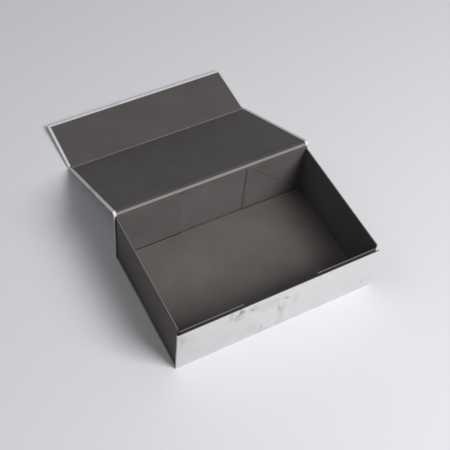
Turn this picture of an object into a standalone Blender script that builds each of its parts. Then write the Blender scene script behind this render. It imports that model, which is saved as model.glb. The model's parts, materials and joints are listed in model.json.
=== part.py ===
"""A fold-flat rigid gift box with a magnetic front flap, standing open with its lid laid back.

The case is five wrapped greyboard panels in a line: flap, lid, rear wall, base and front wall.
Thin card side walls stand on the base. Behind, each ends in a gusset that folds along a diagonal
against the rear wall. In front, each ends in a tab that is taped behind the front wall.

X runs to the right along the front, Y to the back and Z up. The origin is the middle of the
underside of the base. Each moving part hangs on an empty that sits on its crease.
"""

import math

import bmesh
import bpy
from mathutils import Matrix, Vector

MM = 0.001

# The case, measured from crease to crease on its outer face
CASE_WIDTH = 230.0 * MM
BASE_DEPTH = 149.0 * MM
FRONT_HEIGHT = 65.5 * MM
REAR_HEIGHT = 77.0 * MM
FLAP_LENGTH = 68.0 * MM
FLAP_CLEARANCE = 0.8 * MM
FLAP_LIFT = math.radians(3.0)

# What the panels are made of
BOARD = 1.5 * MM
PAPER = 0.2 * MM
GLUE = 0.05 * MM
WRAPPED = BOARD + 2 * (PAPER + GLUE)
LINED = WRAPPED + GLUE + PAPER
TURN_IN = 15.0 * MM
LID_BORDER = 3.2 * MM
WALL_BORDER = 0.8 * MM
FREE_BORDER = 3.2 * MM

# Room at the creases
RUN = 0.3 * MM
CREASE_GAP = 0.3 * MM
GROOVE = LINED + 2 * RUN
SHORT_END = 2 * RUN
LID_END = 4 * RUN
TOP_ROOM = LINED + RUN + PAPER + GLUE

# The side walls, of thin card with paper on both faces
CARD = 0.5 * MM
SIDE_CARD = CARD + 2 * (PAPER + GLUE)
SIDE_INSET = 2.0 * MM
SIDE_TOP = 72.0 * MM
TAB_WIDTH = 70.0 * MM
TAB_TOP = 67.5 * MM
GUSSET_WIDTH = 72.5 * MM
GUSSET_TIP = 3.0 * MM
CORNER_GAP = 0.35 * MM

# The base's grooves are wider, because a tab or a gusset swings there too
BASE_GROOVE = GROOVE + SIDE_CARD + 2 * RUN

# The tape behind the front wall
TAPE = 1.0 * MM
TAPE_WIDTH = 12.0 * MM
TAPE_MARGIN = 6.0 * MM

# Magnets in the flap, and the steel discs in the front wall that they close on
MAGNET_RADIUS = 5.0 * MM
MAGNET_THICKNESS = 1.3 * MM
MAGNET_SPACING = 140.0 * MM
MAGNET_FROM_EDGE = 14.0 * MM
POCKET_CLEARANCE = 0.3 * MM
POCKET_SIDES = 32

# How far a cutter runs past what it cuts
OVERRUN = 4.0 * MM

# Places that follow from the sizes above
HALF_WIDTH = CASE_WIDTH / 2
HALF_DEPTH = BASE_DEPTH / 2
LID_LENGTH = BASE_DEPTH + LINED + FLAP_CLEARANCE
LID_SLOPE = math.asin(REAR_HEIGHT / LID_LENGTH)
SIDE_FOOT = LINED + RUN
SIDE_INNER = HALF_WIDTH - SIDE_INSET - SIDE_CARD
TAB_FRONT = -HALF_DEPTH + LINED + TAPE + 2 * GLUE
TAB_BACK = TAB_FRONT + SIDE_CARD
GUSSET_BACK = HALF_DEPTH - LINED - GLUE
GUSSET_FRONT = GUSSET_BACK - SIDE_CARD
SIDE_START = TAB_BACK + CORNER_GAP
SIDE_END = GUSSET_FRONT - CORNER_GAP
CORNER_X = SIDE_INNER - RUN

# Colour, roughness and metallic value of each kind of surface
MARBLED_PAPER = ((0.78, 0.78, 0.79), 0.42, 0.0)
CHARCOAL_PAPER = ((0.075, 0.071, 0.068), 0.62, 0.0)
HINGE_PAPER = ((0.52, 0.51, 0.50), 0.7, 0.0)
GREYBOARD = ((0.42, 0.40, 0.37), 0.9, 0.0)
STEEL = ((0.62, 0.62, 0.63), 0.35, 1.0)
TAPE_FILM = ((0.85, 0.82, 0.70), 0.3, 0.0)

PARTS = bpy.data.collections.new("fold_flat_gift_box")
CUTTERS = bpy.data.collections.new("cutters")


def clear_scene():
    for obj in list(bpy.data.objects):
        bpy.data.objects.remove(obj, do_unlink=True)
    bpy.context.scene.collection.children.link(PARTS)
    bpy.context.scene.collection.children.link(CUTTERS)
    CUTTERS.hide_render = True


def finish(obj, surface):
    """Gives a sub-part its own material."""
    colour, roughness, metallic = surface
    material = bpy.data.materials.new(obj.name)
    material.use_nodes = True
    shader = material.node_tree.nodes["Principled BSDF"]
    shader.inputs["Base Color"].default_value = (*colour, 1.0)
    shader.inputs["Roughness"].default_value = roughness
    shader.inputs["Metallic"].default_value = metallic
    obj.data.materials.append(material)


def crease(name, axes, parent=None):
    """An empty on a crease. Its X runs along the crease, its Y up the panel and its Z to the inside."""
    empty = bpy.data.objects.new(name, None)
    empty.empty_display_size = SIDE_INSET
    PARTS.objects.link(empty)
    empty.parent = parent
    empty.matrix_local = axes
    return empty


def add(name, data, frame, surface):
    obj = bpy.data.objects.new(name, data)
    if surface is None:
        CUTTERS.objects.link(obj)
        obj.hide_render = True
        obj.display_type = "WIRE"
    else:
        PARTS.objects.link(obj)
        finish(obj, surface)
    obj.parent = frame
    return obj


def block(name, frame, across, along, through, surface=None):
    """A flat sheet or board between two limits on each axis of its frame."""
    spans = (across, along, through)
    sizes = [high - low for low, high in spans]
    mesh = bpy.data.meshes.new(name)
    shape = bmesh.new()
    bmesh.ops.create_cube(shape, size=1.0, matrix=Matrix.Diagonal((*sizes, 1.0)))
    shape.to_mesh(mesh)
    shape.free()
    obj = add(name, mesh, frame, surface)
    obj.location = [(low + high) / 2 for low, high in spans]
    return obj


def disc(name, frame, centre, radius, thickness, surface=None):
    """A round disc that lies in its panel."""
    mesh = bpy.data.meshes.new(name)
    shape = bmesh.new()
    bmesh.ops.create_cone(
        shape, cap_ends=True, segments=POCKET_SIDES, radius1=radius, radius2=radius, depth=thickness
    )
    shape.to_mesh(mesh)
    shape.free()
    obj = add(name, mesh, frame, surface)
    obj.location = centre
    return obj


def outline(name, frame, points, through, surface):
    """A sheet cut to an outline in its frame's XY plane, between two heights."""
    curve = bpy.data.curves.new(name, "CURVE")
    curve.dimensions = "2D"
    curve.fill_mode = "BOTH"
    curve.extrude = (through[1] - through[0]) / 2
    spline = curve.splines.new("POLY")
    spline.points.add(len(points) - 1)
    for point, (x, y) in zip(spline.points, points):
        point.co = (x, y, 0.0, 1.0)
    spline.use_cyclic_u = True
    obj = add(name, curve, frame, surface)
    obj.location = (0.0, 0.0, (through[0] + through[1]) / 2)
    return obj


def cut(obj, cutter):
    modifier = obj.modifiers.new(cutter.name, "BOOLEAN")
    modifier.operation = "DIFFERENCE"
    modifier.object = cutter


def wrap(panel, frame, length, ends):
    """The covering paper of a panel: it goes round the sides and any free end, and turns in.

    ends holds, for each end, how far the board stays back from the crease, or None at a free end.
    At a crease only the outer sheet goes on, as the paper that bends.
    """
    near = 0.0 if ends[0] is None else CREASE_GAP
    far = length if ends[1] is None else length - CREASE_GAP
    side = (-HALF_WIDTH, HALF_WIDTH)
    paper = block(f"{panel}_wrap", frame, side, (near, far), (0.0, WRAPPED), MARBLED_PAPER)

    def inside(margin):
        """The stretch between the ends, a margin in from a free one and past a creased one."""
        low = margin if ends[0] is None else -OVERRUN
        high = length - margin if ends[1] is None else length + OVERRUN
        return low, high

    pocket_x = HALF_WIDTH - PAPER
    pocket = (PAPER + GLUE / 2, WRAPPED - PAPER)
    cut(paper, block(f"{panel}_board_space", frame, (-pocket_x, pocket_x), inside(PAPER), pocket))
    open_x = HALF_WIDTH - TURN_IN
    above = (WRAPPED / 2, WRAPPED + OVERRUN)
    cut(paper, block(f"{panel}_window", frame, (-open_x, open_x), inside(TURN_IN), above))
    past_sides = (-HALF_WIDTH - OVERRUN, HALF_WIDTH + OVERRUN)
    over_sheet = (PAPER, WRAPPED + OVERRUN)
    if ends[0] is not None:
        cut(paper, block(f"{panel}_near_groove", frame, past_sides, (-OVERRUN, ends[0]), over_sheet))
    if ends[1] is not None:
        reach = (length - ends[1], length + OVERRUN)
        cut(paper, block(f"{panel}_far_groove", frame, past_sides, reach, over_sheet))
    return paper


def panel(name, frame, length, ends, border, lining_ends):
    """Board, wrap and lining of one case panel, and the board itself for its pockets."""
    skin = PAPER + GLUE
    low = skin if ends[0] is None else ends[0]
    high = length - (skin if ends[1] is None else ends[1])
    board_x = HALF_WIDTH - skin
    across = (-board_x, board_x)
    board = block(f"{name}_board", frame, across, (low, high), (skin, skin + BOARD), GREYBOARD)
    wrap(name, frame, length, ends)
    lining_x = HALF_WIDTH - border
    along = (lining_ends[0], length - lining_ends[1])
    through = (WRAPPED + GLUE, LINED)
    block(f"{name}_lining", frame, (-lining_x, lining_x), along, through, CHARCOAL_PAPER)
    return board


def magnets(panel_name, kind, board, frame, along):
    """A pair of discs in round pockets through a board."""
    middle = WRAPPED / 2
    for side, sign in (("left", -1), ("right", 1)):
        # The front wall's frame looks forward, so its X runs the other way.
        x = sign * MAGNET_SPACING / 2 * frame.matrix_world.col[0][0]
        centre = (x, along, middle)
        name = f"{panel_name}_{kind}_{side}"
        disc(name, frame, centre, MAGNET_RADIUS, MAGNET_THICKNESS, STEEL)
        radius = MAGNET_RADIUS + POCKET_CLEARANCE
        depth = BOARD + 2 * OVERRUN
        cut(board, disc(f"{name}_pocket", frame, centre, radius, depth))


def case():
    """The five panels. It returns the frames that other parts hang on."""
    base = crease("base_frame", Matrix.Translation((0.0, -HALF_DEPTH, 0.0)))
    grooves = (BASE_GROOVE, BASE_GROOVE)
    edges = (BASE_GROOVE - RUN, BASE_GROOVE - RUN)
    panel("base", base, BASE_DEPTH, grooves, WALL_BORDER, edges)

    facing = Matrix(((-1, 0, 0), (0, 0, 1), (0, 1, 0))).to_4x4()
    front = crease("front_crease", Matrix.Translation((0.0, -HALF_DEPTH, 0.0)) @ facing)
    bpy.context.view_layer.update()
    free_end = (SHORT_END, None)
    board = panel("front_wall", front, FRONT_HEIGHT, free_end, WALL_BORDER, (SHORT_END, WALL_BORDER))
    along = REAR_HEIGHT - (FLAP_LENGTH - MAGNET_FROM_EDGE)
    magnets("front_wall", "keeper", board, front, along)

    upright = Matrix.Rotation(math.pi / 2, 4, "X")
    rear = crease("rear_crease", Matrix.Translation((0.0, HALF_DEPTH, 0.0)) @ upright)
    ends = (SHORT_END, TOP_ROOM)
    panel("rear_wall", rear, REAR_HEIGHT, ends, WALL_BORDER, ends)

    down = Matrix.Rotation(-math.pi / 2 - LID_SLOPE, 4, "X")
    lid = crease("lid_crease", Matrix.Translation((0.0, REAR_HEIGHT, 0.0)) @ down, rear)
    ends = (LID_END, SHORT_END)
    panel("lid", lid, LID_LENGTH, ends, LID_BORDER, ends)

    up = Matrix.Rotation(LID_SLOPE + FLAP_LIFT, 4, "X")
    flap = crease("flap_crease", Matrix.Translation((0.0, LID_LENGTH, 0.0)) @ up, lid)
    bpy.context.view_layer.update()
    board = panel("flap", flap, FLAP_LENGTH, (GROOVE, None), LID_BORDER, (GROOVE, FREE_BORDER))
    magnets("flap", "magnet", board, flap, FLAP_LENGTH - MAGNET_FROM_EDGE)
    return base, front, rear, lid, flap


def hinge_papers(base, rear, flap):
    """The strips that line the grooves, each on the panel that it stays with."""
    across = (-HALF_WIDTH + WALL_BORDER, HALF_WIDTH - WALL_BORDER)
    on_wrap = (PAPER + GLUE, 2 * PAPER + GLUE)
    low, high = SHORT_END, BASE_GROOVE - GLUE
    block("front_hinge_paper", base, across, (low, high), on_wrap, CHARCOAL_PAPER)
    span = (BASE_DEPTH - high, BASE_DEPTH - low)
    block("rear_hinge_paper", base, across, span, on_wrap, CHARCOAL_PAPER)
    block("flap_hinge_paper", flap, across, (SHORT_END, GROOVE - GLUE), on_wrap, CHARCOAL_PAPER)

    bottom = REAR_HEIGHT - TOP_ROOM + GLUE
    top = REAR_HEIGHT - SHORT_END
    outer, inner = on_wrap
    points = (
        (outer, bottom),
        (LINED, bottom),
        (LINED, bottom + PAPER),
        (inner, bottom + PAPER),
        (inner, top),
        (outer, top),
    )
    across_rear = Matrix(((0, 0, -1), (0, 1, 0), (1, 0, 0))).to_4x4()
    edge_on = crease("lid_hinge_paper_frame", across_rear, rear)
    outline("lid_hinge_paper", edge_on, points, across, HINGE_PAPER)


def laminated(name, frame, make):
    """Card with paper on both faces. make builds one layer between two heights."""
    skin = PAPER + GLUE
    make(f"{name}_outer_paper", frame, (0.0, PAPER), CHARCOAL_PAPER)
    make(f"{name}_card", frame, (skin, skin + CARD), GREYBOARD)
    make(f"{name}_inner_paper", frame, (SIDE_CARD - PAPER, SIDE_CARD), CHARCOAL_PAPER)


def side_wall(side, sign):
    """A wall that folds inwards about the foot of its inner face."""
    hinge = Matrix.Translation((sign * SIDE_INNER, 0.0, SIDE_FOOT))
    frame = crease(f"side_wall_{side}_crease", hinge)

    def layer(name, parent, through, surface):
        out, into = (SIDE_CARD - height for height in through)
        across = sorted((sign * out, sign * into))
        block(name, parent, across, (SIDE_START, SIDE_END), (0.0, SIDE_TOP - SIDE_FOOT), surface)

    laminated(f"side_wall_{side}", frame, layer)


def front_tab(side, sign):
    """The tab that comes off the side wall's front end, with the tape that holds it."""
    frame = bpy.data.objects["front_crease"]
    edge = -sign * CORNER_X
    across = sorted((edge, edge + sign * TAB_WIDTH))
    face = TAB_FRONT + HALF_DEPTH

    def layer(name, parent, through, surface):
        depth = [face + height for height in through]
        block(name, parent, across, (SIDE_FOOT, TAB_TOP), depth, surface)

    laminated(f"front_tab_{side}", frame, layer)
    middle = (SIDE_FOOT + TAB_TOP) / 2
    strip = (middle - TAPE_WIDTH / 2, middle + TAPE_WIDTH / 2)
    stuck = (across[0] + TAPE_MARGIN, across[1] - TAPE_MARGIN)
    through = (LINED + GLUE, LINED + GLUE + TAPE)
    block(f"front_tab_{side}_tape", frame, stuck, strip, through, TAPE_FILM)


def gusset(side, sign):
    """The gusset against the rear wall: a panel that is glued to it, and a web that folds over it."""
    rear = bpy.data.objects["rear_crease"]
    face = HALF_DEPTH - GUSSET_BACK
    height = SIDE_TOP - SIDE_FOOT
    slit = CORNER_GAP * math.sqrt(2)

    def along(inwards):
        return -sign * inwards

    glued = [
        (along(slit), 0.0),
        (along(GUSSET_WIDTH), 0.0),
        (along(GUSSET_WIDTH), height),
        (along(height + slit), height),
    ]
    folding = [
        (along(0.0), GUSSET_TIP),
        (along(GUSSET_TIP - slit), GUSSET_TIP),
        (along(height - slit), height),
        (along(0.0), height),
    ]

    def on_rear(name, parent, through, surface):
        depth = [face + rise for rise in through]
        outline(name, parent, glued, depth, surface)

    def on_web(name, parent, through, surface):
        depth = [rise - SIDE_CARD - CORNER_GAP / 2 for rise in through]
        turned = [diagonal.inverted() @ Vector((x, y, 0.0)) for x, y in folding]
        outline(name, parent, [(point.x, point.y) for point in turned], depth, surface)

    corner = Matrix.Translation((sign * CORNER_X, SIDE_FOOT, 0.0))
    panel_frame = crease(f"gusset_panel_{side}_frame", corner, rear)
    laminated(f"gusset_panel_{side}", panel_frame, on_rear)
    diagonal = Matrix.Rotation(-sign * math.pi / 4 + (math.pi if sign > 0 else 0.0), 4, "Z")
    axis_height = Matrix.Translation((0.0, 0.0, face + SIDE_CARD + CORNER_GAP / 2))
    web_frame = crease(f"gusset_web_{side}_crease", corner @ axis_height @ diagonal, rear)
    laminated(f"gusset_web_{side}", web_frame, on_web)


def build():
    clear_scene()
    base, _, rear, _, flap = case()
    hinge_papers(base, rear, flap)
    for side, sign in (("left", -1), ("right", 1)):
        side_wall(side, sign)
        front_tab(side, sign)
        gusset(side, sign)
    bpy.context.view_layer.update()


build()
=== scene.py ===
# %% [markdown]
# # A fold-flat gift box in marbled paper
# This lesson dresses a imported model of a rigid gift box: five greyboard panels in a line (flap,
# lid, rear wall, base and front wall), wrapped in white marbled paper and lined with dark grey
# paper. Thin card side walls with gussets fold flat inside it. The solid model already has every
# board, paper and magnet in place, so what is left here is what makes it look real: the papers and
# their grain, the folds where paper runs over a crease, soft edges, light and a camera.

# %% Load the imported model
import json
import math

import bmesh
import bpy
from mathutils import Matrix, Vector


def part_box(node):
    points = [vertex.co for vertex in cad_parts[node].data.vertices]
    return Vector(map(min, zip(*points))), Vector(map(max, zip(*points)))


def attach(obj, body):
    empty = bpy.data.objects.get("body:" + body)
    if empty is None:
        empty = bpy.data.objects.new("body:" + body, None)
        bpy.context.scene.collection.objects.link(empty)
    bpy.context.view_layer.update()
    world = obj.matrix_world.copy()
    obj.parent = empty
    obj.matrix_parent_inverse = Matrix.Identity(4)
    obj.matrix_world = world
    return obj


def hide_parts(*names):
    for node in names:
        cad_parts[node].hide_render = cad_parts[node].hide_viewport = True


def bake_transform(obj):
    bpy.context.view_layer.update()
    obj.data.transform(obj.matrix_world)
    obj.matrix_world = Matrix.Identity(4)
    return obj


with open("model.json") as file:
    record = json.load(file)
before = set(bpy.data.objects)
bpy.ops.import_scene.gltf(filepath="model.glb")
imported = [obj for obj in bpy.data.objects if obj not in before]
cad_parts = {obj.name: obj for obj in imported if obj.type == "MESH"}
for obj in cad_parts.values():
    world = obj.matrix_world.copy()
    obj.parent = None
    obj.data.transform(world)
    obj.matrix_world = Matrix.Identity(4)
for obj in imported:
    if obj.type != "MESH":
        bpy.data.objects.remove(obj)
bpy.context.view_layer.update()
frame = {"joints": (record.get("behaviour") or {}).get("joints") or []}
nodes = [obj for obj in bpy.data.objects if obj.type == "MESH"]

# %% [markdown]
# ## Where the creases are
# The five panels turn on four creases. Their places could be typed in, but each crease is a joint
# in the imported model. They are read from there, so the looks follow when a size of the model
# changes. The lid lies back with its far crease at the level of the base, and the flap rises a
# little past it. Each panel has two directions of its own: up along it, and through it from its
# outer face to its inner face.

# %% Creases and panels
MM = 0.001
CREASE = {joint["name"]: Vector(joint["pos_m"]) for joint in frame["joints"]}
FRONT = CREASE["front_wall_fold"]
REAR = CREASE["rear_wall_fold"]
TOP = CREASE["lid_hinge"]
FAR = CREASE["flap_hinge"]

BASE_DEPTH = (REAR - FRONT).length
REAR_HEIGHT = (TOP - REAR).length
LID_LENGTH = (FAR - TOP).length
LID_ANGLE = -math.asin(REAR_HEIGHT / LID_LENGTH)
FLAP_LIFT = math.radians(3.0)


def heading(angle):
    """The direction up a panel, and the one through it from its outer face to its inner face."""
    along = Vector((0, math.cos(angle), math.sin(angle)))
    through = Vector((0, -math.sin(angle), math.cos(angle)))
    return along, through


LID_ALONG, LID_THROUGH = heading(LID_ANGLE)
FLAP_ALONG, FLAP_THROUGH = heading(FLAP_LIFT)
print(f"base {BASE_DEPTH / MM:.0f} mm deep, rear wall {REAR_HEIGHT / MM:.0f} mm high")
print(f"lid {LID_LENGTH / MM:.1f} mm long, sloping {math.degrees(-LID_ANGLE):.1f} degrees")

# %% [markdown]
# ## Colours
# Designers write colours as sRGB hex values, while Blender mixes light in linear values. Each
# colour could be worked out beforehand, but a hex value is easier to read and to match, so one
# function converts them all.


# %% Colours
def linear(hex_colour):
    """sRGB hex to linear red, green, blue and alpha."""
    channels = [int(hex_colour[i : i + 2], 16) / 255 for i in (1, 3, 5)]
    lit = [c / 12.92 if c <= 0.04045 else ((c + 0.055) / 1.055) ** 2.4 for c in channels]
    return (*lit, 1.0)


print("#808080 is", [round(value, 3) for value in linear("#808080")[:3]], "in linear light")

# %% [markdown]
# ## Nodes
# A procedural material is a tree of nodes. It could be drawn by hand in the shader editor, but a
# script can be read and run again. One function adds a node, sets it up and links it. Each paper
# below then reads as a recipe, with its numbers next to the names of the sockets they go to.


# %% Nodes
def feed(material, node, inputs):
    """Sets a node's inputs. Each is a value or the socket that feeds it."""
    for name, value in inputs.items():
        if isinstance(value, bpy.types.NodeSocket):
            material.node_tree.links.new(value, node.inputs[name])
        else:
            node.inputs[name].default_value = value


def add(material, kind, inputs=None, stops=(), **settings):
    """Adds one node. stops are a colour ramp's places and hex colours."""
    node = material.node_tree.nodes.new(f"ShaderNode{kind}")
    for name, value in settings.items():
        setattr(node, name, value)
    feed(material, node, inputs or {})
    if stops:
        elements = node.color_ramp.elements
        while len(elements) < len(stops):
            elements.new(0.5)
        for element, (position, colour) in zip(elements, stops):
            element.position = position
            element.color = linear(colour)
    return node


def new_material(name):
    """A new material, and the shader whose sockets say what it is like."""
    material = bpy.data.materials.new(name)
    material.use_nodes = True
    return material, material.node_tree.nodes["Principled BSDF"]


print("made the helpers feed, add and new_material")

# %% [markdown]
# ## One sheet over five panels
# The outside is one printed sheet that wraps all five panels, so its marbling runs on over the
# creases. Each panel could have a pattern of its own, but that would break off at every crease.
# Here the pattern is worked out on the flat sheet instead: X across it, Y along it from the front
# wall's foot and Z through it. Each panel gets a Mapping node that unfolds it onto that sheet.

# %% The flat sheet
TO_LID = BASE_DEPTH + REAR_HEIGHT
TO_FLAP = TO_LID + LID_LENGTH
# How far each panel turns to lie flat, its crease, and how far along the sheet that crease is.
UNFOLDED = {
    "base_wrap": (0.0, FRONT, 0.0),
    "front_wall_wrap": (math.pi / 2, FRONT, 0.0),
    "rear_wall_wrap": (-math.pi / 2, REAR, BASE_DEPTH),
    "lid_wrap": (-LID_ANGLE, TOP, TO_LID),
    "flap_wrap": (-FLAP_LIFT, FAR, TO_FLAP),
}


def flat_sheet(material, turn=0.0, crease=None, start=0.0):
    """Places on the flat sheet. A fold is on no panel, so its places come from its UV map."""
    place = add(material, "TexCoord")
    if crease is None:
        return place.outputs["UV"]
    cos, sin = math.cos(turn), math.sin(turn)
    flat_y = crease.y * cos - crease.z * sin
    flat_z = crease.y * sin + crease.z * cos
    unfold = {
        "Vector": place.outputs["Object"],
        "Rotation": (turn, 0, 0),
        "Location": (0, start - flat_y, -flat_z),
    }
    return add(material, "Mapping", unfold).outputs["Vector"]


print(f"the flap's crease is {TO_FLAP / MM:.0f} mm along the sheet")

# %% [markdown]
# ## Clouds
# The print follows white marble, whose ground is a very pale grey with soft darker clouds. A plain
# noise gives clouds too, but they look like smoke. So the sheet is first warped by another noise,
# as stone is by the ground's pressure, and the clouds are drawn on the warped sheet.

# %% Clouds
CLOUD_SIZE = 95 * MM
WARP_SIZE = 42 * MM
WARP_REACH = 24 * MM
# A noise runs from 0 to 1, and the tones go with places in that range.
NOISE_MIDDLE = 0.5
CLOUD_TONES = ((0.30, "#DBDBDC"), (0.47, "#E4E4E5"), (0.62, "#E9E9EA"))


def clouds(material, sheet):
    """The warped sheet, and its cloudy white."""
    warp = add(material, "TexNoise", {"Vector": sheet, "Scale": 1 / WARP_SIZE, "Detail": 4.0})
    either_way = {0: warp.outputs["Color"], 1: (NOISE_MIDDLE,) * 3}
    either_way = add(material, "VectorMath", either_way, operation="SUBTRACT").outputs[0]
    push = {0: either_way, 1: (WARP_REACH,) * 3, 2: sheet}
    warped = add(material, "VectorMath", push, operation="MULTIPLY_ADD").outputs[0]
    soft = {"Vector": warped, "Scale": 1 / CLOUD_SIZE, "Detail": 5.0, "Roughness": 0.62}
    cloudy = add(material, "TexNoise", soft).outputs["Fac"]
    white = add(material, "ValToRGB", {"Fac": cloudy}, stops=CLOUD_TONES).outputs["Color"]
    return warped, white


print(f"clouds about {CLOUD_SIZE / MM:.0f} mm across, warped by {WARP_REACH / MM:.0f} mm")

# %% [markdown]
# ## Veins
# The marble has a few darker veins, far apart. A Wave texture would draw veins too, but evenly
# spaced ones. The thin band where the warped noise crosses its middle value wanders and forks as
# veins do, so it is used here. A second, broad noise fades it out over most of the sheet, and the
# front wall has hardly any.

# %% Veins
VEIN_SIZE = 60 * MM
FIELD_SIZE = 118.75 * MM
FADE = 20 * MM
# How far off its middle the noise still makes a vein, and where the broad noise lets veins in.
VEIN_BAND = 0.022
VEINED_FROM = 0.5
VEINED_TO = 0.68
# The most ink that a vein has, and the share of it that is left on the front wall.
VEIN_INK = 0.4
FRONT_WALL_VEINS = 0.1


def veins(material, sheet, warped):
    """How much ink the veins have."""
    wander = {"Vector": warped, "Scale": 1 / VEIN_SIZE, "Detail": 3.0, "Roughness": 0.5}
    ridge = add(material, "TexNoise", wander).outputs["Fac"]
    off_middle = {0: ridge, 1: NOISE_MIDDLE}
    off_middle = add(material, "Math", off_middle, operation="SUBTRACT").outputs[0]
    off_middle = add(material, "Math", {0: off_middle}, operation="ABSOLUTE").outputs[0]
    band = {"Value": off_middle, "From Min": VEIN_BAND, "From Max": 0.0}
    vein = add(material, "MapRange", band, interpolation_type="SMOOTHSTEP").outputs["Result"]

    broad = {"Vector": sheet, "Scale": 1 / FIELD_SIZE, "Detail": 1.0}
    field = add(material, "TexNoise", broad).outputs["Fac"]
    here = {"Value": field, "From Min": VEINED_FROM, "From Max": VEINED_TO, "To Max": VEIN_INK}
    here = add(material, "MapRange", here).outputs["Result"]
    vein = add(material, "Math", {0: vein, 1: here}, operation="MULTIPLY").outputs[0]

    sheet_y = add(material, "SeparateXYZ", {"Vector": sheet}).outputs["Y"]
    past = {"Value": sheet_y, "From Min": 0.0, "From Max": FADE, "To Min": FRONT_WALL_VEINS}
    past = add(material, "MapRange", past).outputs["Result"]
    return add(material, "Math", {0: vein, 1: past}, operation="MULTIPLY").outputs[0]


print(f"veins in fields about {FIELD_SIZE / MM:.0f} mm apart")

# %% [markdown]
# ## Smudges
# The eye goes to some darker smudges, most of them on the front wall, which lies at negative Y on
# the sheet. Noise alone wouldn't put them in their places, so each is a soft oval given in a list.
# They could be painted into a picture instead, but these two short lists can be changed at will.
# One row of the streaks is not print but painted shade, which darkens the front wall's left end.

# %% Lists of smudges
# Where each is, its half length and half width, its tilt in degrees and its strength.
BLOTCHES = (
    ((-48, -53), (11.0, 11.0), 0, 0.9),
    ((-45, -62), (5.5, 12.0), 0, 0.9),
    ((-57, -60), (5.5, 13.0), 0, 0.6),
    ((-32, -57), (10.0, 10.0), 0, 0.65),
    ((-6, -54), (6.5, 5.0), 0, 0.7),
    ((5, -52), (9.0, 3.6), 18, 0.7),
    ((-19, -10), (3.0, 11.0), 8, 0.65),
)
STREAKS_AND_SHADE = (
    ((0, -34), (15.0, 3.6), 61, 0.4),
    ((6, -30), (7.0, 28.0), -6, 0.22),
    ((5, -6), (9.0, 18.0), 0, 0.16),
    ((-18, -50), (22.0, 16.0), 0, 0.12),
    ((18, -43), (8.0, 22.0), 0, 0.1),
    ((102, -14), (9.0, 2.4), 121, 0.4),
    ((-112, -54), (6.0, 20.0), 0, 0.2),
    # This broad, faint streak is painted shade: the front wall's left end gets less light.
    ((-115, -32), (38.0, 60.0), 0, 0.09),
    ((-35, -18), (20.0, 18.0), 20, 0.08),
    ((-20, -4), (26.0, 8.0), 35, 0.1),
)
print(len(BLOTCHES), "blotches and", len(STREAKS_AND_SHADE), "streaks")

# %% [markdown]
# ## Blotches and streaks
# A Mapping node of the kind TEXTURE turns an oval into a round spot of radius 1, so the distance
# from its middle says how much ink there is. Blotches are then broken up by a fine noise, because
# printed ones are grainy, and streaks are smooth and follow the warped sheet.

# %% Blotches and streaks
SPECKLE_SIZE = 7 * MM
# Where in its range the fine noise starts to let ink through, and where it lets all through.
SPECKLED_FROM = 0.36
SPECKLED_TO = 0.66


def ovals(material, sheet, table):
    """One soft oval for each row of a table, all added up."""
    total = 0.0
    for (x, y), (half_x, half_y), tilt, strength in table:
        lay = {
            "Vector": sheet,
            "Location": (x * MM, y * MM, 0),
            "Rotation": (0, 0, math.radians(tilt)),
            "Scale": (half_x * MM, half_y * MM, 1),
        }
        place = add(material, "Mapping", lay, vector_type="TEXTURE").outputs["Vector"]
        out = add(material, "VectorMath", {0: place}, operation="LENGTH").outputs["Value"]
        soft = {"Value": out, "From Min": 1.0, "From Max": 0.0, "To Max": strength}
        oval = add(material, "MapRange", soft, interpolation_type="SMOOTHERSTEP")
        sum_up = {0: total, 1: oval.outputs["Result"]}
        total = add(material, "Math", sum_up, operation="ADD").outputs[0]
    return total


def blotches(material, sheet):
    """How much ink the blotches have."""
    fine = {"Vector": sheet, "Scale": 1 / SPECKLE_SIZE, "Detail": 4.0, "Roughness": 0.6}
    speckle = add(material, "TexNoise", fine).outputs["Fac"]
    broken = {"Value": speckle, "From Min": SPECKLED_FROM, "From Max": SPECKLED_TO}
    broken = add(material, "MapRange", broken, interpolation_type="SMOOTHSTEP")
    inked = {0: ovals(material, sheet, BLOTCHES), 1: broken.outputs["Result"]}
    return add(material, "Math", inked, operation="MULTIPLY").outputs[0]


print(f"blotches are broken up by specks of {SPECKLE_SIZE / MM:.0f} mm")

# %% [markdown]
# ## Painted shade on the sides of the base
# The base's paper sticks out a little past the feet of the side walls. There it is in shadow and
# faces away from the light, so its borders are painted grey as shade. A picture of shade could be
# laid over them, but the shade only has to grow from the lining's edge to the side, and a place's X
# on the sheet says how far out it is.

# %% Painted shade on the sides
HALF_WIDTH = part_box("base_wrap")[1][0]
HALF_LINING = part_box("base_lining")[1][0]
# The colour of the shade painted on the base's borders.
BORDER_SHADE = "#6E6A67"
# How much of the painted shade's colour is mixed in at the very side. At the lining it is half of
# that.
BORDER_SHADE_AT_EDGE = 0.6


def paint_border_shade(material, sheet, colour):
    """Paints shade on the borders past the lining, and most at the very sides."""
    sheet_x = add(material, "SeparateXYZ", {"Vector": sheet}).outputs["X"]
    outwards = add(material, "Math", {0: sheet_x}, operation="ABSOLUTE").outputs[0]
    border = {
        "Value": outwards,
        "From Min": HALF_LINING,
        "From Max": HALF_WIDTH,
        "To Min": BORDER_SHADE_AT_EDGE / 2,
        "To Max": BORDER_SHADE_AT_EDGE,
    }
    border_shaded = add(material, "MapRange", border).outputs["Result"]
    lined = {0: outwards, 1: HALF_LINING}
    lined = add(material, "Math", lined, operation="LESS_THAN").outputs[0]
    unshaded = {"Factor": lined, "A": border_shaded, "B": 0.0}
    border_shaded = add(material, "Mix", unshaded, data_type="FLOAT").outputs["Result"]
    greyed = {"Factor": border_shaded, "A": colour, "B": linear(BORDER_SHADE)}
    return add(material, "Mix", greyed, data_type="RGBA").outputs["Result"]


print(f"borders {(HALF_WIDTH - HALF_LINING) / MM:.1f} mm wide")

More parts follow.
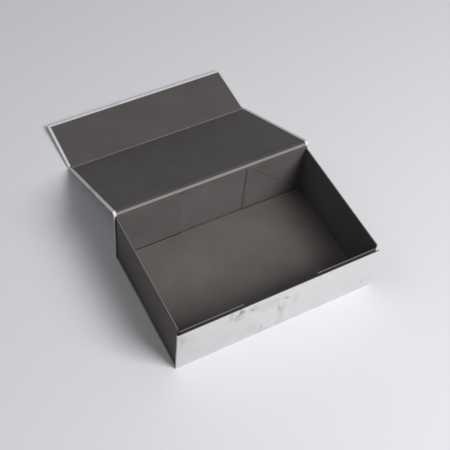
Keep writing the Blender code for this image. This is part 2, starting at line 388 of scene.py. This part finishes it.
# %% [markdown]
# ## Marbled wrapping paper
# This is an art paper of about 150 g/m2, printed and then laminated with a thin matt film. The film
# gives a broad, soft shine, and paper under film still has a slight grain that breaks it up. The
# real grain is finer than a tenth of a millimetre, so it is drawn coarser, or none would show.

# %% Marbled paper
LAMINATE_GRAIN = 0.6 * MM
GRAIN_DEPTH = 0.03 * MM
# The print's ink. The painted shade at the front wall's left end is also mixed towards it.
INK = "#85868A"


def marbled_paper(name, *unfolded, border_shaded=False):
    """Marbled paper for a panel, if told how that unfolds, or else for the folds."""
    material, shader = new_material(name)
    sheet = flat_sheet(material, *unfolded)
    warped, white = clouds(material, sheet)
    ink = {0: veins(material, sheet, warped), 1: blotches(material, sheet)}
    ink = add(material, "Math", ink, operation="ADD").outputs[0]
    # The streaks include painted shade at the front wall's left end.
    ink = {0: ink, 1: ovals(material, warped, STREAKS_AND_SHADE)}
    ink = add(material, "Math", ink, operation="ADD", use_clamp=True).outputs[0]
    printed = {"Factor": ink, "A": white, "B": linear(INK)}
    colour = add(material, "Mix", printed, data_type="RGBA").outputs["Result"]
    # The base's borders get painted shade.
    if border_shaded:
        colour = paint_border_shade(material, sheet, colour)

    grain = add(material, "TexNoise", {"Vector": sheet, "Scale": 1 / LAMINATE_GRAIN, "Detail": 2.0})
    raised = {"Height": grain.outputs["Fac"], "Strength": 0.12, "Distance": GRAIN_DEPTH}
    relief = add(material, "Bump", raised).outputs["Normal"]
    film = {"Base Color": colour, "Normal": relief, "Roughness": 0.42, "IOR": 1.5}
    feed(material, shader, film)
    return material


def cover(obj, material):
    """Gives a solid one material all over."""
    obj.data.materials.clear()
    obj.data.materials.append(material)


for wrap, unfolded in UNFOLDED.items():
    paper = marbled_paper(f"marbled_paper_{wrap}", *unfolded, border_shaded=wrap == "base_wrap")
    cover(bpy.data.objects[wrap], paper)
fold_marble = marbled_paper("marbled_paper_folds")
print(len(UNFOLDED), "panels share one marbled sheet")

# %% [markdown]
# ## A painted highlight at the flap's crease
# The inside is lined with a dark dyed paper. Where the lid's lining ends at the flap, an edge faces
# the light and shows as a fine pale line. It is painted into the paper as a highlight, about as
# sharp as a fibre is wide. It could be a strip of its own, but a painted highlight has no
# thickness, so it is mixed into the paper's colour.

# %% Painted highlight at the crease
FIBRE_WIDTH = 0.35 * MM
# The colour of the painted highlight.
CREASE_HIGHLIGHT = "#A8A29E"
HIGHLIGHT_REACH = 4.1 * MM
highlight_from = FAR.dot(LID_ALONG) - HIGHLIGHT_REACH
# Where the paper is cloudy and dark, the painted highlight has only this share of its strength.
LEAST_HIGHLIGHT = 0.75
CLOUDY_DARK = 0.35
CLOUDY_LIGHT = 0.55


def paint_crease_highlight(material, colour, place, cloudy, past):
    """Paints a highlight past a distance along the lid, here more and there less."""
    along_lid = {0: place, 1: tuple(LID_ALONG)}
    reach = add(material, "VectorMath", along_lid, operation="DOT_PRODUCT").outputs["Value"]
    edge = {"Value": reach, "From Min": past - FIBRE_WIDTH, "From Max": past + FIBRE_WIDTH}
    lightened = add(material, "MapRange", edge).outputs["Result"]
    uneven = {"Value": cloudy, "From Min": CLOUDY_DARK, "From Max": CLOUDY_LIGHT}
    uneven = add(material, "MapRange", {**uneven, "To Min": LEAST_HIGHLIGHT}).outputs["Result"]
    lightened = add(material, "Math", {0: lightened, 1: uneven}, operation="MULTIPLY").outputs[0]
    brightened = {"Factor": lightened, "A": colour, "B": linear(CREASE_HIGHLIGHT)}
    return add(material, "Mix", brightened, data_type="RGBA").outputs["Result"]


print(f"the dye is rubbed off from {HIGHLIGHT_REACH / MM:.1f} mm before the flap's crease")

# %% [markdown]
# ## Dark lining paper
# The lining is a dyed-through uncoated paper of a warm dark grey. One flat colour would do from
# afar. Up close such paper isn't one colour: pulp fibres lie in it a little lighter or darker, the
# sheet is faintly cloudy when held to light, and its tooth scatters light so that it looks soft.
# A stretched noise gives the fibres, a broad one the clouds, and a fine bump the tooth. Real fibres
# are 0.02 mm thick, so these are drawn coarser, or nothing of them would show.

# %% Dyed paper
CLOUDINESS = 45 * MM
TOOTH = 0.05 * MM
# A fibre's width over its length, and how much of the tone comes from fibres and not from clouds.
FIBRE_STRETCH = 0.18
FIBRE_SHARE = 0.55
# Where in the noise's range the dark tone ends and the light one starts.
DARK_TO = 0.36
LIGHT_FROM = 0.64


def dyed_paper(name, dark, light, roughness=0.6, highlight_past=None):
    """Dyed paper. With a distance along the lid given, a highlight is painted past it."""
    material, shader = new_material(name)
    place = add(material, "TexCoord").outputs["Object"]
    lay = {"Vector": place, "Scale": (FIBRE_STRETCH, 1, 1)}
    lay = add(material, "Mapping", lay).outputs["Vector"]
    pulp = {"Vector": lay, "Scale": 1 / FIBRE_WIDTH, "Detail": 3.0, "Distortion": 0.6}
    fibres = add(material, "TexNoise", pulp).outputs["Fac"]
    cloudy = {"Vector": place, "Scale": 1 / CLOUDINESS, "Detail": 3.0}
    cloudy = add(material, "TexNoise", cloudy).outputs["Fac"]
    blend = {"Factor": FIBRE_SHARE, "A": cloudy, "B": fibres}
    blend = add(material, "Mix", blend, data_type="FLOAT").outputs["Result"]
    tones = ((DARK_TO, dark), (LIGHT_FROM, light))
    colour = add(material, "ValToRGB", {"Fac": blend}, stops=tones).outputs["Color"]
    if highlight_past is not None:
        colour = paint_crease_highlight(material, colour, place, cloudy, highlight_past)
    raised = {"Height": fibres, "Strength": 0.25, "Distance": TOOTH}
    tooth = add(material, "Bump", raised).outputs["Normal"]
    uncoated = {"Base Color": colour, "Normal": tooth, "Roughness": roughness, "IOR": 1.5}
    feed(material, shader, uncoated)
    return material


print(f"fibres drawn {FIBRE_WIDTH / MM:.2f} mm wide")

# %% [markdown]
# ## Lit and shaded copies of the dyed paper
# The lid, the flap, the floor, the rear wall and the outsides of the side walls each have a tone of
# their own, which paints in how much light falls on each. The flap is darker as painted shade, and
# the floor, the rear wall with its gussets and the side walls' outsides are lighter as painted
# light. The paper over the hinge is a lighter stock, and what lies at the rims and in the grooves
# is painted nearly black as shade. One shared material would be less work, but it would not show
# these differences in light.

# %% Dyed papers
HINGE_ROUGHNESS = 0.7
lining_paper = dyed_paper("dyed_lining_paper", "#5D5757", "#6A6464")
# The lid's lining carries the painted highlight at the flap's crease.
lid_paper = dyed_paper("lining_paper_painted_highlight_at_crease", "#5C5757", "#696464", highlight_past=highlight_from)
# The flap's copy is darker, as painted shade.
flap_paper = dyed_paper("lining_paper_darker_lot", "#575150", "#635D5C")
# The floor's copy is lighter, as painted light.
floor_paper = dyed_paper("lining_paper_warmer_lot", "#635D5B", "#716B68")
# The copy for the rear wall and the gussets is lighter, as painted light.
wall_paper = dyed_paper("lining_paper_painted_light_walls", "#625E5D", "#706C6B")
# The copy for the side walls' outsides is lighter, as painted light.
outer_paper = dyed_paper("lining_paper_painted_light_outside", "#605A5A", "#6E6868")
hinge_paper = dyed_paper("light_hinge_paper", "#85827F", "#93908D", HINGE_ROUGHNESS)
# Nearly black as painted shade: at the hinge's rims, on the tabs' fronts, over the front wall's top
# edge and in the right gusset's slit.
painted_shade_paper = dyed_paper("lining_paper_painted_shade_at_rims", "#403C3C", "#4A4646", HINGE_ROUGHNESS)
# Nearly black, as painted shade in the grooves.
groove_shade_paper = dyed_paper("lining_paper_painted_shade_in_grooves", "#2C2928", "#373332", HINGE_ROUGHNESS)
print("six tones of lining paper made, and papers for the hinge, the rims and the grooves")

# %% [markdown]
# ## Greyboard and cut card
# Greyboard is pressed from waste paper: grey, with pale and dark flecks of about half a millimetre.
# It shows only where a knife has cut it, such as at the tops of the side walls, which are brighter
# and fuzzy there. The fuzz could be modelled as hair, but from this far a rough bump looks the
# same. Below its top edge a card is painted dark as shade, so that only a fine light line shows.

# %% Board and card
FLECK_SIZE = 0.5 * MM
BARE = 0.3 * MM
FUZZ = 0.1 * MM
# Where in the noise's range the dark, middle and pale flecks are, and their colours.
FLECK_STOPS = (0.3, 0.5, 0.7)
CLEAN_BOARD = ("#86827E", "#A19E9A", "#BAB7B2")
# Tones for the cards, darker than the clean board's.
DARKER_CARD_TONES = ("#76726F", "#8D8A86", "#A3A09C")
# The colour of the shade painted on a card below its top edge.
PAINTED_SHADE_ON_CARD = "#3A3635"


def greyboard(name, tones, bare_above=None):
    """Raw board. With a height given, only what is above it is bare, and the rest gets painted
    shade.
    """
    material, shader = new_material(name)
    place = add(material, "TexCoord").outputs["Object"]
    waste = {"Vector": place, "Scale": 1 / FLECK_SIZE, "Detail": 4.0, "Roughness": 0.7}
    flecks = add(material, "TexNoise", waste).outputs["Fac"]
    stops = tuple(zip(FLECK_STOPS, tones))
    colour = add(material, "ValToRGB", {"Fac": flecks}, stops=stops).outputs["Color"]
    if bare_above is not None:
        height = add(material, "SeparateXYZ", {"Vector": place}).outputs["Z"]
        # Below the bare top, the card gets the painted shade.
        bare = {0: height, 1: bare_above}
        bare = add(material, "Math", bare, operation="GREATER_THAN").outputs[0]
        painted = {"Factor": bare, "A": linear(PAINTED_SHADE_ON_CARD), "B": colour}
        colour = add(material, "Mix", painted, data_type="RGBA").outputs["Result"]
    raised = {"Height": flecks, "Strength": 0.5, "Distance": FUZZ}
    fuzz = add(material, "Bump", raised).outputs["Normal"]
    feed(material, shader, {"Base Color": colour, "Normal": fuzz, "Roughness": 0.9})
    return material


side_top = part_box("side_wall_left_card")[1][2]
tab_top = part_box("front_tab_left_card")[1][2]
board = greyboard("greyboard_cut_edge", CLEAN_BOARD)
side_card = greyboard("card_bare_on_top", DARKER_CARD_TONES, side_top - BARE)
tab_card = greyboard("tab_card_bare_on_top", DARKER_CARD_TONES, tab_top - BARE)
print(f"card is bare above {(side_top - BARE) / MM:.1f} mm and {(tab_top - BARE) / MM:.1f} mm")

# %% [markdown]
# ## Steel and tape
# The magnets and the discs that they close on are nickel-plated steel: a pale, slightly warm
# mirror, dulled here and there by handling. The tape is a pale foam. All of them are inside the
# walls, and plain grey would do for the render, but anyone who takes the box apart sees them.

# %% Steel and tape
NICKEL = "#C9C8C4"
DULL_SIZE = 0.5 * MM
POLISHED = 0.22
DULLED = 0.38


def plated_steel(name):
    """Nickel-plated steel. Its roughness varies, and its colour doesn't."""
    material, shader = new_material(name)
    place = add(material, "TexCoord").outputs["Object"]
    spots = {"Vector": place, "Scale": 1 / DULL_SIZE, "Detail": 2.0}
    haze = add(material, "TexNoise", spots).outputs["Fac"]
    rough = {"Value": haze, "To Min": POLISHED, "To Max": DULLED}
    rough = add(material, "MapRange", rough).outputs["Result"]
    plating = {"Base Color": linear(NICKEL), "Metallic": 1.0, "Roughness": rough}
    feed(material, shader, plating)
    return material


steel = plated_steel("nickel_plated_steel")
foam = dyed_paper("foam_tape", "#DCD6C4", "#E8E3D4", 0.8)
print("steel and foam made")

# %% [markdown]
# ## Which solid gets which finish
# Every solid is named for what it is, so its name picks its finish. The names could all be listed,
# but a table of first and last words is shorter, and it also covers both sides of the box. The
# first row that fits a name holds. The wraps have their marbled paper already.

# %% Finishes
# The name's first words, its last words and the finish.
FINISHES = (
    ("", "_tape", foam),
    ("flap_magnet", "", steel),
    ("front_wall_keeper", "", steel),
    ("side_wall", "_card", side_card),
    ("front_tab", "_card", tab_card),
    ("", "_board", board),
    # The next rows use lighter copies of the lining as painted light, and the flap's darker copy as
    # painted shade.
    ("gusset", "", wall_paper),
    ("rear_wall_lining", "", wall_paper),
    ("flap_lining", "", flap_paper),
    ("lid_lining", "", lid_paper),
    ("base_lining", "", floor_paper),
    ("side_wall", "_outer_paper", outer_paper),
    # The tabs' fronts stand in shade, so their paper is painted nearly black.
    ("front_tab", "_outer_paper", painted_shade_paper),
    ("lid_hinge_paper", "", hinge_paper),
    # The papers in the grooves get painted shade.
    ("front_hinge_paper", "", groove_shade_paper),
    ("rear_hinge_paper", "", groove_shade_paper),
    ("", "", lining_paper),
)
for obj in [obj for obj in nodes if not obj.name.endswith("_wrap")]:
    for first_words, last_words, finish in FINISHES:
        if obj.name.startswith(first_words) and obj.name.endswith(last_words):
            cover(obj, finish)
            break
print(sum("lining" in obj.data.materials[0].name for obj in nodes), "solids are lining paper")

# %% [markdown]
# ## Soft edges
# Paper turned over a board never makes a knife edge. Its bend is about as tight as the paper is
# thick. It could be modelled in the solids, but a Bevel modifier gives it to all of them at once,
# and a small one is enough to catch a thin line of light along the edges.

# %% Bevels
WRAPPED_EDGE = 0.12 * MM
CUT_EDGE = 0.06 * MM
SHARP = math.radians(50)
for obj in nodes:
    bevel = obj.modifiers.new("soft_edge", "BEVEL")
    bevel.width = WRAPPED_EDGE if obj.name.endswith("_wrap") else CUT_EDGE
    bevel.segments = 2
    bevel.limit_method = "ANGLE"
    bevel.angle_limit = SHARP
print(len(nodes), "solids have soft edges")

# %% [markdown]
# ## The line that paper bends along
# In the solid model each panel's papers stop just short of a crease, because a solid can't bend.
# On the real box the paper runs on over it, so each fold below gets a thin strip of its own. Its
# middle line could be a part of a circle, but a quadratic Bezier curve fits any two panels: it
# leaves one straight and arrives at the other straight, as paper does.

# %% Bent lines and new objects
def bend(first, corner, last, steps=10):
    """Points on a curve that leaves first towards corner and arrives at last from it."""
    points = []
    for step in range(steps + 1):
        t = step / steps
        points.append(first * (1 - t) ** 2 + corner * 2 * t * (1 - t) + last * t**2)
    return points


def new_object(name, data):
    """A mesh, lamp or camera as an object in the scene."""
    obj = bpy.data.objects.new(name, data)
    bpy.context.scene.collection.objects.link(obj)
    return obj


def to_object(name, shape, material):
    """A finished bmesh as an object of one material."""
    mesh = bpy.data.meshes.new(name)
    shape.to_mesh(mesh)
    shape.free()
    mesh.materials.append(material)
    return new_object(name, mesh)


print("a square bend has", len(bend(Vector(), Vector((0, 0, 1)), Vector((0, 1, 1)))), "points")

# %% [markdown]
# ## A strip of paper
# A curve object with a bevel could give a strip its shape, but only a mesh can carry the marbled
# sheet's places in its UV map. So a rectangle as wide as the box and as thick as the paper is swept
# along the line. Edges sharper than the bevels' limit stay sharp, and the rest are shaded smooth.

# %% Strips
PAPER = 0.2 * MM


def strip(name, middle, half_width, material, thickness=PAPER, sheet_start=0.0):
    """A closed ribbon along a middle line in the YZ plane, from side to side of the box."""
    shape = bmesh.new()
    uv = shape.loops.layers.uv.new("sheet")
    travelled = [0.0]
    for before, after in zip(middle, middle[1:]):
        travelled.append(travelled[-1] + (after - before).length)

    rings = []
    side = Vector((half_width, 0, 0))
    for i, point in enumerate(middle):
        along = (middle[min(i + 1, len(middle) - 1)] - middle[max(i - 1, 0)]).normalized()
        through = Vector((0, -along.z, along.y)) * thickness / 2
        corners = (
            point - side - through,
            point + side - through,
            point + side + through,
            point - side + through,
        )
        rings.append([shape.verts.new(corner) for corner in corners])

    faces = []
    for i, (near, far) in enumerate(zip(rings, rings[1:])):
        for a in range(4):
            b = (a + 1) % 4
            faces.append((shape.faces.new((near[a], near[b], far[b], far[a])), i))
    faces.append((shape.faces.new(reversed(rings[0])), 0))
    faces.append((shape.faces.new(rings[-1]), len(middle) - 2))
    for face, i in faces:
        face.smooth = True
        for loop in face.loops:
            ring = i if loop.vert in rings[i] else i + 1
            loop[uv].uv = (loop.vert.co.x, sheet_start + travelled[ring])
    bmesh.ops.recalc_face_normals(shape, faces=shape.faces)
    for edge in shape.edges:
        edge.smooth = edge.calc_face_angle() < SHARP
    return to_object(name, shape, material)


print(f"strips are {PAPER / MM:.1f} mm thick unless they say otherwise")

# %% [markdown]
# ## Marbled paper over the creases
# Outside, the wrap runs round each crease in one piece. A rigid strip could be glued to one panel,
# but it would stay behind when the other panel turns. Each strip is laid round its crease between
# its two panels as they stand now, and the bodies in the table below are not used.

# %% Outer folds
UP = Vector((0, 0, 1))
BACK = Vector((0, 1, 0))
SKIN = PAPER / 2
FOLD_GAP = 0.3 * MM


def at(crease, along, up, through, out):
    """A point near a crease: up the panel by up, and through it by out from its outer face."""
    return crease + along * up + through * out


# A panel's directions, along it from one of its creases and through it.
base_back, base_forth = (BACK, UP), (-BACK, UP)
front_up, rear_up, rear_down = (UP, BACK), (UP, -BACK), (-UP, -BACK)
lid_out, lid_home = (LID_ALONG, LID_THROUGH), (-LID_ALONG, LID_THROUGH)
flap_out = (FLAP_ALONG, FLAP_THROUGH)
# Each fold's crease, both panels' directions, their bodies, and how far along the sheet it is.
FOLDS = (
    ("front_fold_outside", FRONT, base_back, front_up, ("base", "front_wall"), 0.0),
    ("rear_fold_outside", REAR, base_forth, rear_up, ("base", "rear_wall"), BASE_DEPTH),
    ("lid_fold_outside", TOP, rear_down, lid_out, ("rear_wall", "lid"), TO_LID),
    ("flap_fold_outside", FAR, lid_home, flap_out, ("lid", "flap"), TO_FLAP),
)
for name, crease, first, last, bodies, on_sheet in FOLDS:
    start = at(crease, first[0], FOLD_GAP, first[1], SKIN)
    end = at(crease, last[0], FOLD_GAP, last[1], SKIN)
    # Both middle lines run straight to where they meet, on the line that halves the fold.
    half = (first[1] + last[1]).normalized()
    corner = crease + half * SKIN / half.dot(first[1])
    line = bend(start, corner, end)
    piece = strip(name, line, HALF_WIDTH, fold_marble, sheet_start=on_sheet)
    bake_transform(piece)
print(len(FOLDS), "outer folds")

# %% [markdown]
# ## Lining up to the walls and over the front edge
# The floor's solid keeps clear of the walls' feet, so that the side walls' cards can swing there.
# On the real box its lining runs on between the gussets until just short of the walls, where a fine
# dark gap is left. A bigger lining solid would be in the cards' way, so a strip that fits between
# the gussets is added here. The front wall's lining is turned over the back half of its top edge,
# and is drawn as a strip thinner than a real paper, so that it hardly raises the wall.

# %% Floor and front edge
LINED = 2.25 * MM
BASE_GROOVE = 4.15 * MM
FOOT_GAP = 1.1 * MM
BETWEEN_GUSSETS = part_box("gusset_panel_right_inner_paper")[0][0] - FOLD_GAP
for name, crease, inward in (
    ("front_floor_lining", FRONT, BACK),
    ("rear_floor_lining", REAR, -BACK),
):
    floor_end = at(crease, inward, BASE_GROOVE, UP, LINED - SKIN)
    edge = at(crease, inward, LINED + FOOT_GAP, UP, LINED - SKIN)
    foot = at(crease, inward, LINED + FOOT_GAP, UP, PAPER)
    line = [floor_end] + bend(edge + inward * PAPER, edge, foot, steps=5)
    # The floor's lighter tone is painted light.
    piece = strip(name, line, BETWEEN_GUSSETS, floor_paper)
    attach(piece, "base")

THIN = 0.06 * MM
TURNED_OVER = 1.2 * MM
front_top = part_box("front_wall_wrap")[1][2]
edge_back = Vector((0, FRONT.y + LINED, front_top + THIN / 2))
line = [edge_back - BACK * TURNED_OVER, edge_back]
# The turned-over lining is painted nearly black as shade.
piece = strip("front_edge_lining", line, HALF_LINING, painted_shade_paper, thickness=THIN)
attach(piece, "front_wall")
print(f"floor lining ends {FOOT_GAP / MM:.1f} mm short of the walls")

# %% [markdown]
# ## Lining over the flap's crease
# Between lid and flap the lining dips only a little into the groove between the boards. The solid
# for it is a flat bar, which would open a gap as the flap turns, so a strip bent along the groove
# replaces it.

# %% Flap's lining fold
HALF_LID_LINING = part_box("lid_lining")[1][0]
SHORT_END = 0.6 * MM
FLAP_GROOVE = 2.85 * MM
DIP = 0.12 * MM
lid_edge = at(FAR, -LID_ALONG, SHORT_END, LID_THROUGH, LINED - SKIN)
valley = at(FAR, FLAP_ALONG, FLAP_GROOVE / 3, FLAP_THROUGH, LINED - SKIN - DIP)
flap_edge = at(FAR, FLAP_ALONG, FLAP_GROOVE, FLAP_THROUGH, LINED - SKIN)
line = bend(lid_edge, valley, flap_edge, steps=8)
# The flap's darker tone is painted shade.
flap_lining_fold = strip("flap_fold_lining", line, HALF_LID_LINING, flap_paper)
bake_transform(flap_lining_fold)
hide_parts("flap_hinge_paper")
print(f"flap's lining fold spans {(flap_edge - lid_edge).length / MM:.1f} mm")

# %% [markdown]
# ## The light strip over the rear wall
# Along the top of the rear wall a lighter paper shows between the rear lining and the lid's lining.
# The groove there is wide, and with the lid right back the papers over it are pulled nearly
# straight: the dark lining runs on past both boards' edges in narrow shoulders, and the light strip
# lies on them, a little rounded. The shoulders could ride on their panels, but they would cut
# through the wraps as the lid closes. So all three are parts of one curve from rim to rim, made for
# the lid lying right back.

# %% Hinge strip and its shoulders
LID_END = 1.2 * MM
TOP_ROOM = 2.8 * MM
STRIP_CROWN = 1.5 * MM
GLUE = 0.01 * MM
# Of the curve's steps the light strip covers these, and both shoulders run one step under it.
GROOVE_STEPS = 20
STRIP_FIRST = 2
STRIP_LAST = 12
rear_rim = at(TOP, -UP, TOP_ROOM, -BACK, LINED - SKIN)
lid_rim = at(TOP, LID_ALONG, LID_END, LID_THROUGH, LINED - SKIN)
proud = Vector((0, rear_rim.z - lid_rim.z, lid_rim.y - rear_rim.y)).normalized()


def over_groove(crown):
    """A line over the groove from rim to rim, high enough to clear the outer paper's crease."""
    return bend(rear_rim, (rear_rim + lid_rim) / 2 + proud * crown, lid_rim, GROOVE_STEPS)


curve = over_groove(STRIP_CROWN)
for name, line in (
    ("rear_lining_shoulder", curve[: STRIP_FIRST + 2]),
    ("lid_lining_shoulder", curve[STRIP_LAST - 1 :]),
):
    # The shoulders are painted nearly black as shade.
    piece = strip(name, line, HALF_LINING, painted_shade_paper, thickness=THIN)
    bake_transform(piece)

on_top = [point + proud * (THIN + GLUE) for point in curve[STRIP_FIRST : STRIP_LAST + 1]]
light_strip = strip("lid_fold_strip", on_top, HALF_LID_LINING, hinge_paper, thickness=THIN)
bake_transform(light_strip)
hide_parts("lid_hinge_paper")
print(f"hinge strip made, {(on_top[-1] - on_top[0]).length / MM:.1f} mm wide")

# %% [markdown]
# ## White rolls beside the hinge strip
# At both sides the marbled paper is turned in over the groove, and stands up in a small white roll.
# It could be a tube, but here it is a strip over the same groove with a higher crown.

# %% Rolls at the sides
BORDER_CROWN = 2.2 * MM
half_border = (HALF_WIDTH - HALF_LID_LINING) / 2
for side, sign in (("left", -1), ("right", 1)):
    piece = strip(f"lid_fold_border_{side}", over_groove(BORDER_CROWN), half_border, fold_marble)
    piece.data.transform(Matrix.Translation((sign * (HALF_WIDTH - half_border), 0, 0)))
    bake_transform(piece)
print(f"rolls made, {2 * half_border / MM:.1f} mm wide")

# %% [markdown]
# ## Upright strips
# A gusset is one card with its side wall. Its glued panel ends on the rear wall in an upright edge,
# and at the corner it turns into the side wall. The lining is glued down over both. A strip for
# that could be built from scratch, but it is less work to draw it across the box like the others,
# stand it up, and mirror it for the left side.

# %% Upright strips
panel_low, panel_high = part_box("gusset_panel_right_inner_paper")
wall_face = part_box("rear_wall_lining")[0][1]
side_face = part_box("side_wall_right_inner_paper")[0][0]
gusset_foot, gusset_top = panel_low[2], panel_high[2]
panel_edge, gusset_face, paper_back = panel_low[0], panel_low[1], panel_high[1]


def plan(x, y):
    """A point of an upright strip's line. X is kept in Z until the strip is stood up."""
    return Vector((0, y, x))


def upright(name, line, sign, body):
    """A strip along a line in plan, stood up from the gussets' foot to their top."""
    # The walls' lighter tone here is painted light.
    piece = strip(name, line, (gusset_top - gusset_foot) / 2 - THIN, wall_paper, thickness=THIN)
    centre = Matrix.Translation((0, 0, (gusset_top + gusset_foot) / 2))
    stand = centre @ Matrix.Rotation(math.pi / 2, 4, "Y")
    mirror = Matrix.Scale(sign, 4, (1, 0, 0))
    piece.data.transform(mirror @ stand)
    if sign < 0:
        piece.data.flip_normals()
    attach(piece, body)


print(f"gussets stand from {gusset_foot / MM:.1f} mm to {gusset_top / MM:.1f} mm")

# %% [markdown]
# ## Paper over the gussets' edges
# On the left the lining is drawn out into a wide, soft step over the upright edge, and the diagonal
# crease hardly shows. On the right the step is short, and the crease is a fine slit, painted dark
# as its shade. At both corners a narrow strip covers the turn into the side wall. All of these
# could be bumps in the lining's material, but then the mesh would not have them.

# %% Gusset strips
LONG_STEP = 9.0 * MM
SHORT_STEP = 1.5 * MM
LAP = 0.2 * MM
CREASE_HALF = 0.75 * MM
SLIT_HALF = 0.3 * MM
FOLD_END = 2.5 * MM
CORNER_WING = 0.6 * MM
CORNER_LEG = 1.6 * MM
for side, sign, step_width, half, face, crease_paper in (
    ("left", -1, LONG_STEP, CREASE_HALF, gusset_face - THIN / 2, wall_paper),
    # On the right, the crease strip is painted nearly black as the slit's shade.
    ("right", 1, SHORT_STEP, SLIT_HALF, paper_back + THIN, painted_shade_paper),
):
    low = plan(panel_edge - step_width, wall_face - THIN)
    high = plan(panel_edge + LAP, gusset_face - THIN)
    line = bend(low, (low + high) / 2, high, steps=4)
    upright(f"gusset_edge_{side}", line, sign, "rear_wall")

    leg = plan(side_face - THIN, gusset_face - CORNER_LEG)
    wing = plan(side_face - CORNER_WING, gusset_face - THIN)
    corner = plan(side_face - THIN, gusset_face - THIN)
    upright(f"gusset_corner_{side}", bend(leg, corner, wing, steps=6), sign, f"side_wall_{side}")

    # The crease rises at 45 degrees from the foot of the corner.
    crease_foot = CREASE[f"gusset_web_{side}_fold"]
    rise = (gusset_top - gusset_foot) / 2
    centre = Vector((crease_foot.x - sign * rise, face, crease_foot.z + rise))
    line = [Vector((0, 0, offset)) for offset in (-half, 0, half)]
    half_length = rise * math.sqrt(2) - FOLD_END
    # The crease strip carries the walls' painted light on the left and painted shade on the right.
    piece = strip(f"gusset_crease_{side}", line, half_length, crease_paper, thickness=THIN)
    piece.data.transform(Matrix.Translation(centre) @ Matrix.Rotation(sign * math.pi / 4, 4, "Y"))
    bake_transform(piece)
print(f"gusset strips made, {(gusset_top - gusset_foot) / MM:.1f} mm high")

# %% [markdown]
# ## A plain pale floor
# The box stands on a studio's seamless paper, which is plain, pale and matt. Its colour alone could
# be made as light as it looks, but it would then bounce so much light back that the box loses its
# shadows. So the camera sees it lighter than the light that bounces does.

# %% Floor
# Half its side, in metres.
HALF_FLOOR = 12.0
FLOOR_SEEN = "#EBEBEE"
FLOOR_BOUNCE = "#BCBCBF"
pale, pale_shader = new_material("pale_floor")
by_camera = add(pale, "LightPath").outputs["Is Camera Ray"]
tones = {"Factor": by_camera, "A": linear(FLOOR_BOUNCE), "B": linear(FLOOR_SEEN)}
floor_colour = add(pale, "Mix", tones, data_type="RGBA").outputs["Result"]
feed(pale, pale_shader, {"Base Color": floor_colour, "Roughness": 0.9})
shape = bmesh.new()
bmesh.ops.create_grid(shape, x_segments=1, y_segments=1, size=HALF_FLOOR)
floor = to_object("floor", shape, pale)
print(f"floor {floor.dimensions.x:.0f} m wide")

# %% [markdown]
# ## Pale surroundings
# A photographer would stand white boards round the box, which fill its shadows. One world colour
# does the same here. At the strength that fills the shadows it would look grey behind the box, so
# the camera sees it brighter than the box does.

# %% World
WHITE_BOARDS = "#F4F6FA"
BOARDS_LIGHT = 0.185
BOARDS_SEEN = 0.8
world = bpy.data.worlds.new("studio")
bpy.context.scene.world = world
world.use_nodes = True
by_camera = add(world, "LightPath").outputs["Is Camera Ray"]
strengths = {"Factor": by_camera, "A": BOARDS_LIGHT, "B": BOARDS_SEEN}
strength = add(world, "Mix", strengths, data_type="FLOAT").outputs["Result"]
glow = world.node_tree.nodes["Background"]
feed(world, glow, {"Color": linear(WHITE_BOARDS), "Strength": strength})
print(f"the world lights at {BOARDS_LIGHT} and is seen at {BOARDS_SEEN}")

# %% [markdown]
# ## Soft light
# One big soft lamp stands close at the front right, so that the near end of the box is lit more
# than the far flap, and shadows fall to the back left. A weak one at the left lifts them a little.
# A sun lamp would be simpler, but it lights near and far alike and its shadows are hard.

# %% Lamps
AIM = (0.0, 0.05, 0.0)
# Each lamp's place and side in metres, and its power in watts.
SOFTBOXES = (
    ("key_softbox", (0.74, -1.2, 1.43), 1.0, 36.7),
    ("fill_softbox", (-0.6, 0.3, 1.1), 0.5, 0.9),
)
for name, place, size, power in SOFTBOXES:
    lamp = bpy.data.lights.new(name, "AREA")
    lamp.shape = "SQUARE"
    lamp.size = size
    lamp.energy = power
    softbox = new_object(name, lamp)
    softbox.location = place
    aim = Vector(AIM) - Vector(place)
    softbox.rotation_euler = aim.to_track_quat("-Z", "Y").to_euler()
print(len(SOFTBOXES), "softboxes")

# %% [markdown]
# ## Camera
# The camera looks down from the front left with a short telephoto lens, from about a metre away.
# It could be set by eye, but its place, directions and lens were worked out from the photographed
# corners of the box, so that the render's edges fall where the photograph's do. The lens and the
# small shift are given as shares of the picture's width, which is 450 pixels.

# %% Camera
# The sensor's width in millimetres, and the picture's in pixels.
SENSOR = 36.0
PICTURE = 450
FOCAL_SHARE = 895.1 / PICTURE
SHIFT_X = 2.1 / PICTURE
SHIFT_Y = 2.4 / PICTURE
EYE = Vector((-307.1, -425.8, 812.4)) * MM
RIGHT = Vector((0.8838, -0.4632, 0.0665))
DOWN = Vector((-0.3451, -0.7411, -0.5760))
camera_data = bpy.data.cameras.new("camera")
camera_data.sensor_width = SENSOR
camera_data.lens = SENSOR * FOCAL_SHARE
camera_data.shift_x = SHIFT_X
camera_data.shift_y = SHIFT_Y
camera_data.clip_start = 0.01
camera_data.clip_end = 50.0
camera = new_object("camera", camera_data)
facing = Matrix((RIGHT, -DOWN, -RIGHT.cross(DOWN))).transposed()
camera.matrix_world = Matrix.Translation(EYE) @ facing.to_4x4()
bpy.context.scene.camera = camera
bpy.context.scene.view_settings.view_transform = "Standard"
print(f"camera with a {camera_data.lens:.1f} mm lens, {EYE.length:.2f} m away")
